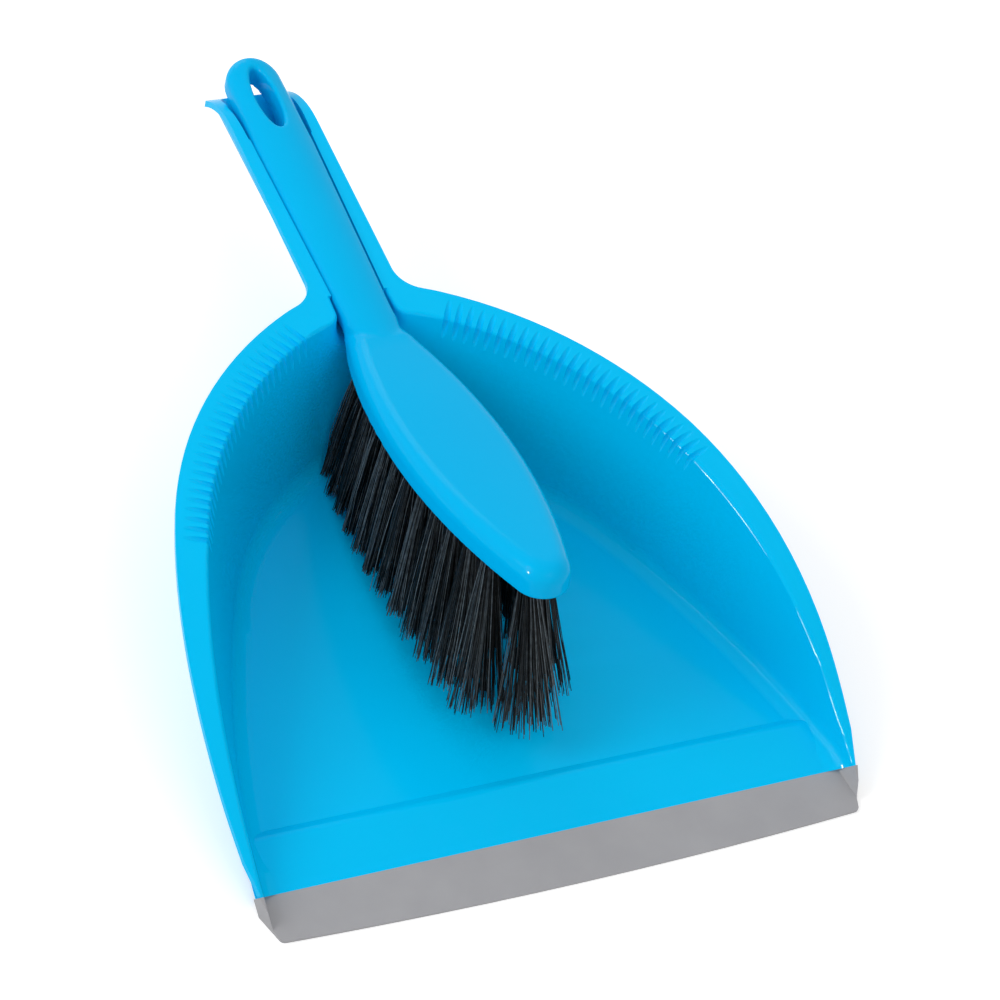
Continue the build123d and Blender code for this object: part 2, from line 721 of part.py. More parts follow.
def grip_blank():
    """Brush handle with rounded edges, in the handle frame."""
    span = END_Y - NECK_Y
    bottom = GRIP_BOTTOM
    belly = Pos(0, BELLY_Y - NECK_Y) * Circle(BELLY_HALF)
    end_round = Pos(0, span) * Circle(END_HALF)
    neck = Pos(0, -NECK_REACH) * Circle(handle_half(NECK_Y - NECK_REACH))
    plan = make_hull(neck.edges() + belly.edges() + end_round.edges())
    prism = extrude(Pos(0, 0, bottom) * plan, amount=BLANK_TOP_Z)
    tilt = math.degrees(math.atan2(GRIP_TOP_END - GRIP_TOP_NECK, span))
    bar = Cylinder(GRIP_CROWN_R, 3 * span)
    grip = prism & Pos(0, 0, GRIP_TOP_NECK - GRIP_CROWN_R) * Rot(90 + tilt, 0, 0) * bar
    low = [e for e in grip.edges() if e.bounding_box().max.Z < bottom + 0.01]
    grip = fillet(low, GRIP_BOTTOM_R)
    top = [e for e in grip.edges() if e.bounding_box().min.Z > (bottom + GRIP_TOP_NECK) / 2]
    grip = fillet(top, GRIP_TOP_R)
    taper = (GRIP_TOP_END - END_THICK - bottom) / (END_Y - TAPER_START_Y)
    start = TAPER_START_Y - NECK_Y
    end = span + END_HALF + BLANK_BEYOND
    tip = (end, bottom + taper * (end - start))
    grip = grip - side_polygon(((start, bottom), tip, (end, bottom - BLANK_MARGIN)), 2 * END_HALF)
    hole = extrude(Ellipse(HANG_HOLE_WIDTH / 2, HANG_HOLE_LENGTH / 2), amount=BLANK_TOP_Z)
    grip = grip - Pos(0, HANG_HOLE_Y - NECK_Y, bottom - 1) * hole
    rims = []
    for edge in grip.edges():
        box = edge.bounding_box()
        in_hole = max(-box.min.X, box.max.X) < HANG_HOLE_WIDTH / 2 + 0.1
        in_reach = box.min.Y > HANG_HOLE_Y - NECK_Y - HANG_HOLE_LENGTH / 2 - 0.1
        if in_hole and in_reach and box.min.Z > 0:
            rims.append(edge)
    return chamfer(rims, HANG_HOLE_CHAMFER) - grip_cores()


def grip_cores():
    """Pockets under the handle that leave its walls and cross ribs."""
    roof = GRIP_TOP_NECK - CORE_WALL
    pitch = (CORE_END_Y - CORE_START_Y + CORE_RIB_THICK) / CORE_RIBS
    pockets = []
    for index in range(CORE_RIBS):
        start = CORE_START_Y + index * pitch
        end = start + pitch - CORE_RIB_THICK
        corners = []
        for y in (start, end):
            corners.append((handle_half(y) - CORE_WALL, y - NECK_Y, GRIP_BOTTOM - 1))
        corners += [(-x, y, z) for x, y, z in reversed(corners)]
        face = facing_up(Face(Wire.make_polygon(corners, close=True)))
        pockets.append(extrude(face, amount=roof - GRIP_BOTTOM + 1))
    return pockets


def tuft_places():
    """Name, position on the head's underside and axis angles of every tuft."""
    places = []
    last_row = len(ROW_COUNTS) - 1
    for row, count in enumerate(ROW_COUNTS):
        y = FIRST_ROW_Y - row * ROW_PITCH
        reach = head_half(y) - EDGE_INSET
        along = row / last_row
        lean = REAR_LEAN + (NOSE_LEAN - REAR_LEAN) * along**3
        for column in range(count):
            share = 0.0 if count == 1 else 2 * column / (count - 1) - 1
            name = f"tuft_{row + 1:02d}_{column + 1}"
            x = share * reach
            fan = REAR_FAN_ANGLE + (NOSE_FAN_ANGLE - REAR_FAN_ANGLE) * along
            places.append((name, x, y, fan * share, lean))
    return places


def tuft_frame(x, y, fan, lean):
    """Frame at a hole's mouth in the head frame, with Z pointing out along the tuft."""
    return Location((x, y, -HEAD_SIDE)) * Rot(180 - lean, 0, 0) * Rot(0, fan, 0)


def trim_solid():
    """Half space below the trim plane of the bristle tips, which rises towards the nose."""
    plane = Location((0, TRIM_REAR_Y, TRIM_REAR_Z), (-TRIM_SLOPE, 0, 0))
    return plane * Pos(0, 0, -TRIM_BLOCK / 2) * Box(TRIM_BLOCK, TRIM_BLOCK, TRIM_BLOCK)


def build_brush():
    """Brush block, tufts and anchors, all in the shared frame."""
    block = HANDLE_FRAME * grip_blank() + HEAD_FRAME * head_blank()
    trim = trim_solid()
    nest = cavity(NEST_GAP)
    holes = []
    tufts = {}
    anchors = []
    deep = HOLE_DEPTH
    anchor_z = ANCHOR_GAP + ANCHOR_HEIGHT / 2 - deep
    for name, x, y, fan, lean in tuft_places():
        frame = tuft_frame(x, y, fan, lean)
        hole = Cylinder((TUFT_ROOT_D + HOLE_CLEARANCE) / 2, deep + BLANK_MARGIN)
        holes.append(HEAD_FRAME * frame * Pos(0, 0, (BLANK_MARGIN - deep) / 2) * hole)
        root = Pos(0, 0, -deep / 2) * Cylinder(TUFT_ROOT_D / 2, deep - HOLE_CLEARANCE)
        free_part = Cone(TUFT_ROOT_D / 2, TUFT_TIP_D / 2, TUFT_FREE_MAX)
        brush = Pos(0, 0, (TUFT_FREE_MAX - HOLE_CLEARANCE) / 2) * free_part
        slot = Pos(0, 0, anchor_z) * Box(
            2 * ANCHOR_LENGTH, ANCHOR_THICK + 2 * ANCHOR_GAP, ANCHOR_HEIGHT + 2 * ANCHOR_GAP
        )
        tuft = HEAD_FRAME * frame * (root + brush - slot) - trim
        tufts[name] = tuft & nest if y > 0 else tuft
        bar = Pos(0, 0, anchor_z) * Box(ANCHOR_LENGTH, ANCHOR_THICK, ANCHOR_HEIGHT)
        anchors.append(HEAD_FRAME * frame * bar)
    block = block - holes
    return block, tufts, Compound(children=anchors)


block, tufts, anchors = build_brush()
nodes = {
    "pan_shell": build_shell(),
    "pan_lip": build_lip(),
    "brush_block": block,
    "tuft_anchors": anchors,
}
nodes.update(tufts)

# The origin moves to the middle of the set's length.
boxes = [shape.bounding_box() for shape in nodes.values()]
front = min(box.min.Y for box in boxes)
back = max(box.max.Y for box in boxes)
TO_ORIGIN = Pos(0, -(front + back) / 2, 0)
for name, shape in nodes.items():
    export_step(TO_ORIGIN * shape, f"parts/{name}.step")
    print(name, len(shape.solids()), "solids", round(shape.volume), "mm3")
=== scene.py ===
import logging
import math
from dataclasses import dataclass
from enum import Enum
from typing import Any, Optional

import bmesh
import bpy
import numpy as np
from mathutils import Matrix, Vector


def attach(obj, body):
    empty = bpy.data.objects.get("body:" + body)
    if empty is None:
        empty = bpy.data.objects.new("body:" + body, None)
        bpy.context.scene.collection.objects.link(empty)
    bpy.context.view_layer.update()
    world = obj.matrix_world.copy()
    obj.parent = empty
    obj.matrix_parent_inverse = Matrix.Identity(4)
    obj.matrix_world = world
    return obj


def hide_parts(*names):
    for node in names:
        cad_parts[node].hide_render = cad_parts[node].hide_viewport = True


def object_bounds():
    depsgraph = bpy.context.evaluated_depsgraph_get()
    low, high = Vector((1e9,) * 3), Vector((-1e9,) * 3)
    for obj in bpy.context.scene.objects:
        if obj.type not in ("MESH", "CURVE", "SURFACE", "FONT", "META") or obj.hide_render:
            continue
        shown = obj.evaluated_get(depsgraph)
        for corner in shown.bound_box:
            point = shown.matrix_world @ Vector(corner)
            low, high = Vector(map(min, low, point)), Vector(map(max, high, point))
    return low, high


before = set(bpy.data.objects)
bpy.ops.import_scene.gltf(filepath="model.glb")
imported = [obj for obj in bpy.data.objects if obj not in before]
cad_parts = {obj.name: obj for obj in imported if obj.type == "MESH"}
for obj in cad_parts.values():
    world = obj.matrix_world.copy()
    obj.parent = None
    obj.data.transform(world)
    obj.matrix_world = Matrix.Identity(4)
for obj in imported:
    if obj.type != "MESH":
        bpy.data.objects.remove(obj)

LOG = logging.getLogger("dust_pan_set")
CAD_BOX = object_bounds()
MM = 0.001


def linear(hex_colour: str) -> tuple[float, float, float, float]:
    """Turn an sRGB hex colour into linear values.

    Args:
        hex_colour: six hex digits, such as "00B4E6".

    Returns:
        Linear red, green and blue, with an alpha of 1.
    """
    parts = [int(hex_colour[i : i + 2], 16) / 255 for i in (0, 2, 4)]
    flat = [c / 12.92 if c <= 0.04045 else ((c + 0.055) / 1.055) ** 2.4 for c in parts]
    return (flat[0], flat[1], flat[2], 1.0)


def add_node(
    tree: bpy.types.NodeTree,
    kind: str,
    inputs: Optional[dict[Any, Any]] = None,
    **settings: Any,
) -> bpy.types.Node:
    """Add one node to a tree, with its settings, values and links.

    Args:
        tree: the node tree.
        kind: the node's type name.
        inputs: for each input, by name or place, a value or the output that feeds it.
        settings: properties of the node itself.

    Returns:
        The new node.
    """
    node = tree.nodes.new(kind)
    for name, value in settings.items():
        setattr(node, name, value)
    for key, value in (inputs or {}).items():
        if isinstance(value, bpy.types.NodeSocket):
            tree.links.new(value, node.inputs[key])
        else:
            node.inputs[key].default_value = value
    return node


def new_material(name: str) -> tuple[bpy.types.Material, bpy.types.NodeTree]:
    """Make an empty node material.

    Args:
        name: the material's name.

    Returns:
        The material and its node tree.
    """
    material = bpy.data.materials.new(name)
    material.use_nodes = True
    material.node_tree.nodes.clear()
    return material, material.node_tree


def add_object(name: str, data: bpy.types.ID) -> bpy.types.Object:
    """Put a mesh, a lamp or the camera in the scene.

    Args:
        name: the new object's name.
        data: what the object holds.

    Returns:
        The new object, at the origin.
    """
    piece = bpy.data.objects.new(name, data)
    bpy.context.scene.collection.objects.link(piece)
    return piece


def vertex_places(mesh: bpy.types.Mesh) -> np.ndarray:
    """Read where a mesh's vertices are.

    Args:
        mesh: the mesh.

    Returns:
        One row for each vertex, in metres.
    """
    places = np.empty(len(mesh.vertices) * 3)
    mesh.vertices.foreach_get("co", places)
    return places.reshape(-1, 3)


@dataclass(frozen=True)
class MouldedPolypropylene:
    """Coloured polypropylene, injection moulded in a polished tool.

    The eye sees an even, saturated colour with a soft gloss, faint flow marks and light scuffs.
    The gloss is kept low, so that a pale room doesn't veil the colour.
    """

    name: str
    base: str
    streak: str
    roughness: float
    scuffs: float

    def build(self) -> bpy.types.Material:
        """Build the material.

        Returns:
            The finished material.
        """
        material, tree = new_material(self.name)
        place = add_node(tree, "ShaderNodeTexCoord").outputs["Object"]
        # Flow marks are cloudy bands some 60 mm across, only just visible.
        flow = add_node(
            tree, "ShaderNodeTexNoise", {"Vector": place, "Scale": 1 / (60 * MM), "Detail": 3.0}
        )
        # Scuffs are fine marks about 1.5 mm apart that only dull the gloss.
        scuff = add_node(
            tree,
            "ShaderNodeTexNoise",
            {"Vector": place, "Scale": 1 / (1.5 * MM), "Detail": 4.0, "Roughness": 0.7},
        )
        colour = add_node(
            tree,
            "ShaderNodeMix",
            {"Factor": flow.outputs["Fac"], "A": linear(self.base), "B": linear(self.streak)},
            data_type="RGBA",
        )
        # The noise stays between these two values, and the scuffs are where it is highest.
        gloss = add_node(
            tree,
            "ShaderNodeMapRange",
            {
                "Value": scuff.outputs["Fac"],
                "From Min": 0.35,
                "From Max": 0.75,
                "To Min": self.roughness,
                "To Max": self.roughness + self.scuffs,
            },
        )
        # The tool's own texture is an orange peel of about 0.8 mm, under a micron deep.
        peel = add_node(
            tree, "ShaderNodeTexNoise", {"Vector": place, "Scale": 1 / (0.8 * MM), "Detail": 2.0}
        )
        bump = add_node(
            tree,
            "ShaderNodeBump",
            {"Height": peel.outputs["Fac"], "Strength": 0.02, "Distance": 0.02 * MM},
        )
        shader = add_node(
            tree,
            "ShaderNodeBsdfPrincipled",
            {
                "Base Color": colour.outputs["Result"],
                "Roughness": gloss.outputs["Result"],
                "Normal": bump.outputs["Normal"],
                "IOR": 1.49,
                "Specular IOR Level": 0.05,
            },
        )
        add_node(tree, "ShaderNodeOutputMaterial", {"Surface": shader.outputs["BSDF"]})
        return material


@dataclass(frozen=True)
class MouldedElastomer:
    """Grey thermoplastic elastomer, moulded over the pan's front tongue.

    The eye sees a satin grey with a fine matt grain and dusty clouds.
    """

    name: str
    base: str
    dust: str
    roughness: float

    def build(self) -> bpy.types.Material:
        """Build the material.

        Returns:
            The finished material.
        """
        material, tree = new_material(self.name)
        place = add_node(tree, "ShaderNodeTexCoord").outputs["Object"]
        # Dust lies in clouds about 18 mm across.
        cloud = add_node(
            tree, "ShaderNodeTexNoise", {"Vector": place, "Scale": 1 / (18 * MM), "Detail": 5.0}
        )
        # The grain is 0.5 mm, coarse enough to show.
        grain = add_node(
            tree, "ShaderNodeTexNoise", {"Vector": place, "Scale": 1 / (0.5 * MM), "Detail": 3.0}
        )
        colour = add_node(
            tree,
            "ShaderNodeMix",
            {"Factor": cloud.outputs["Fac"], "A": linear(self.base), "B": linear(self.dust)},
            data_type="RGBA",
        )
        bump = add_node(
            tree,
            "ShaderNodeBump",
            {"Height": grain.outputs["Fac"], "Strength": 0.2, "Distance": 0.06 * MM},
        )
        shader = add_node(
            tree,
            "ShaderNodeBsdfPrincipled",
            {
                "Base Color": colour.outputs["Result"],
                "Normal": bump.outputs["Normal"],
                "Roughness": self.roughness,
                "IOR": 1.5,
            },
        )
        add_node(tree, "ShaderNodeOutputMaterial", {"Surface": shader.outputs["BSDF"]})
        return material


@dataclass(frozen=True)
class ExtrudedMonofilament:
    """Black polyester monofilament, extruded and crimped.

    The eye sees dark strands, no two of quite the same shade. A few strands are painted pale
    grey-blue as a painted highlight that stands in for strands lit by the lamps. The rarity is the
    power that makes pale strands few.
    """

    name: str
    darkest: str
    palest_painted_highlight: str
    roughness: float
    rarity: float = 2.5

    def build(self) -> bpy.types.Material:
        """Build the material.

        Returns:
            The finished material.
        """
        material, tree = new_material(self.name)
        shade = add_node(tree, "ShaderNodeAttribute", attribute_name="shade")
        place = add_node(tree, "ShaderNodeTexCoord").outputs["Object"]
        # Each strand has paler and darker stretches about 2 mm long.
        mark = add_node(
            tree, "ShaderNodeTexNoise", {"Vector": place, "Scale": 1 / (2 * MM), "Detail": 2.0}
        )
        # Most strands are nearly black, and a few are painted pale as a painted highlight for lit
        # strands.
        rare = add_node(
            tree, "ShaderNodeMath", {0: shade.outputs["Fac"], 1: self.rarity}, operation="POWER"
        )
        tone = add_node(
            tree,
            "ShaderNodeMath",
            {0: rare.outputs["Value"], 1: mark.outputs["Fac"]},
            operation="MULTIPLY",
        )
        # The palest colour is painted highlight: a random tone per strand, with its pale end painted
        # in.
        colour = add_node(
            tree,
            "ShaderNodeMix",
            {
                "Factor": tone.outputs["Value"],
                "A": linear(self.darkest),
                "B": linear(self.palest_painted_highlight),
            },
            data_type="RGBA",
        )
        shader = add_node(
            tree,
            "ShaderNodeBsdfPrincipled",
            {
                "Base Color": colour.outputs["Result"],
                "Roughness": self.roughness,
                "IOR": 1.57,
                "Specular IOR Level": 0.12,
            },
        )
        add_node(tree, "ShaderNodeOutputMaterial", {"Surface": shader.outputs["BSDF"]})
        return material


@dataclass(frozen=True)
class DrawnWire:
    """Drawn steel wire, flattened.

    The eye sees a grey metal with fine, uneven marks.
    """

    name: str
    base: str
    mark: str
    roughness: float

    def build(self) -> bpy.types.Material:
        """Build the material.

        Returns:
            The finished material.
        """
        material, tree = new_material(self.name)
        place = add_node(tree, "ShaderNodeTexCoord").outputs["Object"]
        # The drawing die leaves marks about 0.3 mm apart.
        marks = add_node(
            tree, "ShaderNodeTexNoise", {"Vector": place, "Scale": 1 / (0.3 * MM), "Detail": 2.0}
        )
        colour = add_node(
            tree,
            "ShaderNodeMix",
            {"Factor": marks.outputs["Fac"], "A": linear(self.base), "B": linear(self.mark)},
            data_type="RGBA",
        )
        shader = add_node(
            tree,
            "ShaderNodeBsdfPrincipled",
            {"Base Color": colour.outputs["Result"], "Metallic": 1.0, "Roughness": self.roughness},
        )
        add_node(tree, "ShaderNodeOutputMaterial", {"Surface": shader.outputs["BSDF"]})
        return material


class Finish(Enum):
    """The finishes on the set."""

    PAN = MouldedPolypropylene("moulded_polypropylene_pan", "00BCF3", "00C2F8", 0.11, 0.07)
    BRUSH = MouldedPolypropylene("moulded_polypropylene_brush", "00B0E8", "00B5EC", 0.10, 0.05)
    LIP = MouldedElastomer("moulded_elastomer_lip", "949498", "A4A4A7", 0.42)
    # The bristles' palest colour is a painted highlight, not the strands' own colour.
    BRISTLE = ExtrudedMonofilament("extruded_monofilament_bristle", "010203", "8A979E", 0.24)
    WIRE = DrawnWire("drawn_wire_anchor", "B4B7BA", "8A8D90", 0.35)

    def material(self) -> bpy.types.Material:
        """The finish's material, built once."""
        return bpy.data.materials.get(self.value.name) or self.value.build()


def dress_node(node: str, finish: Finish) -> None:
    """Give a CAD node a finish.

    Args:
        node: the node's name.
        finish: the finish for all its faces.
    """
    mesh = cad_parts[node].data
    mesh.materials.clear()
    mesh.materials.append(finish.material())


@dataclass
class Pan:
    """The pan: its moulded shell and its soft lip, whose CAD nodes have their full shapes."""

    shell: str = "pan_shell"
    lip: str = "pan_lip"

    def build(self) -> None:
        """Dress the shell and the lip."""
        dress_node(self.shell, Finish.PAN)
        LOG.info("pan: %s dressed", self.shell)
        dress_node(self.lip, Finish.LIP)
        LOG.info("pan: %s dressed", self.lip)


@dataclass
class Bristles:
    """The brush's strands: a fan from every hole, cut off at the trim plane.

    Each tuft's root, axis and end are measured on the plain tuft of the CAD part. The fans are
    tight at the rear, under the handle, and wide at the nose. Raggedness is the largest share of its
    length that a strand is cut short by, and short_rarity the power that makes short ones few. The
    nest is the round back of the pan, whose wall leans out as it rises and holds the rear strands in.
    """

    body: str = "brush"
    anchors: str = "tuft_anchors"
    strands: int = 150
    width: float = 0.32 * MM
    sides: int = 3
    joints: int = 4
    root_radius: float = 2.3 * MM
    rear_spread: float = 0.65
    nose_spread: float = 3.9
    fan_shape: tuple[float, float, float] = (1.25, 0.5, 1.0)
    stray: float = 0.9 * MM
    bow: float = 1.0 * MM
    raggedness: float = 0.05
    short_rarity: float = 3.0
    hole_depth: float = 7.0 * MM
    end_band: float = 1.2 * MM
    root_band: float = 0.2 * MM
    nest_centre: tuple[float, float, float] = (0.0, -9.86 * MM, 0.0)
    nest_radius: float = 32.2 * MM
    nest_slope: float = 0.35
    seed: int = 7

    def nodes(self) -> list[str]:
        """Names of the plain tufts."""
        return [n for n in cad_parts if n.startswith("tuft_") and n != self.anchors]

    def measure(self, node: str) -> tuple[Vector, Vector, Vector]:
        """Measure one plain tuft.

        Args:
            node: the tuft's node.

        Returns:
            The middle of its root at the hole's mouth, its axis and the middle of its end.
        """
        points = vertex_places(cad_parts[node].data)
        points = np.unique(points.round(6), axis=0)
        end = points[points[:, 2] < points[:, 2].min() + self.end_band].mean(axis=0)
        away = np.linalg.norm(points - end, axis=1)
        root = points[away > away.max() - self.root_band].mean(axis=0)
        axis = Vector(end - root).normalized()
        return Vector(root) + axis * self.hole_depth, axis, Vector(end)

    def seeds(self) -> tuple[bpy.types.Object, float]:
        """Make the object that holds one point per tuft, and find the trim plane's slope.

        Returns:
            The object, whose points carry each tuft's axis, a direction across it, its end and how
            far it fans out, and the rise of the trim plane for each metre along Y.
        """
        tufts = [self.measure(node) for node in self.nodes()]
        mesh = bpy.data.meshes.new("tuft_seeds")
        mesh.from_pydata([mouth for mouth, _, _ in tufts], [], [])
        columns = {
            "axis": [axis for _, axis, _ in tufts],
            "across": [axis.cross(Vector((0, 1, 0))).normalized() for _, axis, _ in tufts],
            "end": [end for _, _, end in tufts],
        }
        for name, vectors in columns.items():
            layer = mesh.attributes.new(name, "FLOAT_VECTOR", "POINT")
            layer.data.foreach_set("vector", np.array(vectors).ravel())
        # The fans widen slowly at first and fast near the nose.
        places = np.array([mouth.y for mouth, _, _ in tufts])
        along = (places.max() - places) / (places.max() - places.min())
        fans = self.rear_spread + (self.nose_spread - self.rear_spread) * along**3
        layer = mesh.attributes.new("fan", "FLOAT", "POINT")
        layer.data.foreach_set("value", fans)
        ends = np.array(columns["end"])
        slope = float(np.polyfit(ends[:, 1], ends[:, 2], 1)[0])
        return add_object("tuft_seeds", mesh), slope

    def inputs(self, slope: float) -> dict[str, tuple[str, Any]]:
        """List the sizes that the node tree takes in.

        Args:
            slope: the rise of the trim plane for each metre along Y.

        Returns:
            Each input's socket type and value, by its name.
        """
        return {
            "Strands": ("NodeSocketInt", self.strands),
            "Width": ("NodeSocketFloat", self.width),
            "Sides": ("NodeSocketInt", self.sides),
            "Joints": ("NodeSocketInt", self.joints),
            "Root Radius": ("NodeSocketFloat", self.root_radius),
            "Fan Shape": ("NodeSocketVector", self.fan_shape),
            "Stray": ("NodeSocketFloat", self.stray),
            # The bow follows x (1 - x), which is a quarter at its middle.
            "Bow": ("NodeSocketFloat", self.bow * 4),
            "Raggedness": ("NodeSocketFloat", self.raggedness),
            "Short Rarity": ("NodeSocketFloat", self.short_rarity),
            "Trim Normal": ("NodeSocketVector", tuple(Vector((0.0, -slope, 1.0)).normalized())),
            "Nest Centre": ("NodeSocketVector", self.nest_centre),
            "Nest Radius": ("NodeSocketFloat", self.nest_radius),
            "Nest Slope": ("NodeSocketFloat", self.nest_slope),
            "Finish": ("NodeSocketMaterial", Finish.BRISTLE.material()),
        }

    def rooted(
        self, tree: bpy.types.NodeTree, given: bpy.types.NodeOutputs
    ) -> bpy.types.NodeSocket:
        """Set out one point for each strand, with its root, tip, bend and shade stored on it.

        Args:
            tree: the strands' node tree.
            given: the tree's inputs.

        Returns:
            The points.
        """
        vector, scalar = "ShaderNodeVectorMath", "ShaderNodeMath"
        axis, across, end = (
            add_node(
                tree, "GeometryNodeInputNamedAttribute", {"Name": name}, data_type="FLOAT_VECTOR"
            ).outputs["Attribute"]
            for name in ("axis", "across", "end")
        )
        spread = add_node(
            tree, "GeometryNodeInputNamedAttribute", {"Name": "fan"}, data_type="FLOAT"
        ).outputs["Attribute"]
        ring_chance, turn_chance, trim_chance, shade = (
            add_node(
                tree, "FunctionNodeRandomValue", {8: self.seed + draw}, data_type="FLOAT"
            ).outputs[1]
            for draw in range(4)
        )
        stray_toss, bend_toss = (
            add_node(
                tree,
                "FunctionNodeRandomValue",
                {0: (-1.0, -1.0, -1.0), 1: (1.0, 1.0, 1.0), 8: self.seed + draw},
                data_type="FLOAT_VECTOR",
            ).outputs[0]
            for draw in (10, 11)
        )
        # The roots are spread evenly over the hole's round mouth.
        points = add_node(
            tree,
            "GeometryNodeDuplicateElements",
            {"Geometry": given["Tufts"], "Amount": given["Strands"]},
            domain="POINT",
        ).outputs["Geometry"]
        ring = add_node(tree, scalar, {0: ring_chance}, operation="SQRT").outputs[0]
        radius = add_node(
            tree, scalar, {0: ring, 1: given["Root Radius"]}, operation="MULTIPLY"
        ).outputs[0]
        turn = add_node(
            tree, scalar, {0: turn_chance, 1: math.tau}, operation="MULTIPLY"
        ).outputs[0]
        spoke = add_node(tree, vector, {0: across, "Scale": radius}, operation="SCALE").outputs[0]
        offset = add_node(
            tree,
            "ShaderNodeVectorRotate",
            {"Vector": spoke, "Axis": axis, "Angle": turn, "Center": (0, 0, 0)},
        ).outputs[0]
        place = add_node(tree, "GeometryNodeInputPosition").outputs[0]
        root = add_node(tree, vector, {0: place, 1: offset}, operation="ADD").outputs[0]
        # A strand heads for the tuft's end, further out the further out its root is.
        flat = add_node(
            tree, vector, {0: offset, 1: given["Fan Shape"]}, operation="MULTIPLY"
        ).outputs[0]
        fan = add_node(tree, vector, {0: flat, "Scale": spread}, operation="SCALE").outputs[0]
        stray = add_node(
            tree, vector, {0: stray_toss, "Scale": given["Stray"]}, operation="SCALE"
        ).outputs[0]
        middle = add_node(tree, vector, {0: end, 1: place}, operation="SUBTRACT").outputs[0]
        heading = add_node(tree, vector, {0: middle, 1: fan}, operation="ADD").outputs[0]
        course = add_node(tree, vector, {0: heading, 1: stray}, operation="ADD").outputs[0]
        # It is cut where it meets the trim plane, and a few strands are cut short of it.
        ahead = add_node(tree, vector, {0: end, 1: root}, operation="SUBTRACT").outputs[0]
        gap = add_node(
            tree, vector, {0: ahead, 1: given["Trim Normal"]}, operation="DOT_PRODUCT"
        ).outputs["Value"]
        rate = add_node(
            tree, vector, {0: course, 1: given["Trim Normal"]}, operation="DOT_PRODUCT"
        ).outputs["Value"]
        reach = add_node(tree, scalar, {0: gap, 1: rate}, operation="DIVIDE").outputs[0]
        uneven = add_node(
            tree, scalar, {0: trim_chance, 1: given["Short Rarity"]}, operation="POWER"
        ).outputs[0]
        short = add_node(
            tree, scalar, {0: uneven, 1: given["Raggedness"]}, operation="MULTIPLY"
        ).outputs[0]
        left = add_node(tree, scalar, {0: 1.0, 1: short}, operation="SUBTRACT").outputs[0]
        length = add_node(tree, scalar, {0: reach, 1: left}, operation="MULTIPLY").outputs[0]
        run = add_node(tree, vector, {0: course, "Scale": length}, operation="SCALE").outputs[0]
        tip = add_node(tree, vector, {0: root, 1: run}, operation="ADD").outputs[0]
        bend = add_node(
            tree, vector, {0: bend_toss, "Scale": given["Bow"]}, operation="SCALE"
        ).outputs[0]
        for name, value, kind in (
            ("root", root, "FLOAT_VECTOR"),
            ("tip", tip, "FLOAT_VECTOR"),
            ("bend", bend, "FLOAT_VECTOR"),
            ("shade", shade, "FLOAT"),
        ):
            points = add_node(
                tree,
                "GeometryNodeStoreNamedAttribute",
                {"Geometry": points, "Name": name, "Value": value},
                data_type=kind,
                domain="POINT",
            ).outputs["Geometry"]
        return points

    def bowed(self, tree: bpy.types.NodeTree) -> bpy.types.NodeSocket:
        """Work out where a strand runs: from its root to its tip, bowed a little on the way.

        Args:
            tree: the strands' node tree.

        Returns:
            The place of each point of a strand.
        """
        vector, scalar = "ShaderNodeVectorMath", "ShaderNodeMath"
        root, tip, bend = (
            add_node(
                tree, "GeometryNodeInputNamedAttribute", {"Name": name}, data_type="FLOAT_VECTOR"
            ).outputs["Attribute"]
            for name in ("root", "tip", "bend")
        )
        along = add_node(tree, "GeometryNodeSplineParameter").outputs["Factor"]
        straight = add_node(
            tree, "ShaderNodeMix", {"Factor": along, 4: root, 5: tip}, data_type="VECTOR"
        ).outputs[1]
        rest = add_node(tree, scalar, {0: 1.0, 1: along}, operation="SUBTRACT").outputs[0]
        hump = add_node(tree, scalar, {0: along, 1: rest}, operation="MULTIPLY").outputs[0]
        shift = add_node(tree, vector, {0: bend, "Scale": hump}, operation="SCALE").outputs[0]
        return add_node(tree, vector, {0: straight, 1: shift}, operation="ADD").outputs[0]

    def nested(
        self,
        tree: bpy.types.NodeTree,
        given: bpy.types.NodeOutputs,
        path: bpy.types.NodeSocket,
    ) -> bpy.types.NodeSocket:
        """Bring in the parts of a strand that would pass the pan's back wall.

        Args:
            tree: the strands' node tree.
            given: the tree's inputs.
            path: the place of each point of a strand.

        Returns:
            The places, moved in towards the nest's centre line where they were outside it.
        """
        vector, scalar = "ShaderNodeVectorMath", "ShaderNodeMath"
        from_centre = add_node(
            tree, vector, {0: path, 1: given["Nest Centre"]}, operation="SUBTRACT"
        ).outputs[0]
        parts = add_node(tree, "ShaderNodeSeparateXYZ", {0: from_centre}).outputs
        level = add_node(
            tree, vector, {0: from_centre, 1: (1.0, 1.0, 0.0)}, operation="MULTIPLY"
        ).outputs[0]
        distance = add_node(tree, vector, {0: level}, operation="LENGTH").outputs["Value"]
        limit = add_node(
            tree,
            scalar,
            {0: parts["Z"], 1: given["Nest Slope"], 2: given["Nest Radius"]},
            operation="MULTIPLY_ADD",
        ).outputs[0]
        over = add_node(tree, scalar, {0: distance, 1: limit}, operation="SUBTRACT").outputs[0]
        outside = add_node(tree, scalar, {0: over, 1: 0.0}, operation="MAXIMUM").outputs[0]
        # Only the rear half of the nest has a wall.
        behind = add_node(
            tree, scalar, {0: parts["Y"], 1: 0.0}, operation="GREATER_THAN"
        ).outputs[0]
        excess = add_node(tree, scalar, {0: outside, 1: behind}, operation="MULTIPLY").outputs[0]
        outward = add_node(tree, vector, {0: level}, operation="NORMALIZE").outputs[0]
        shift = add_node(tree, vector, {0: outward, "Scale": excess}, operation="SCALE").outputs[0]
        return add_node(tree, vector, {0: path, 1: shift}, operation="SUBTRACT").outputs[0]

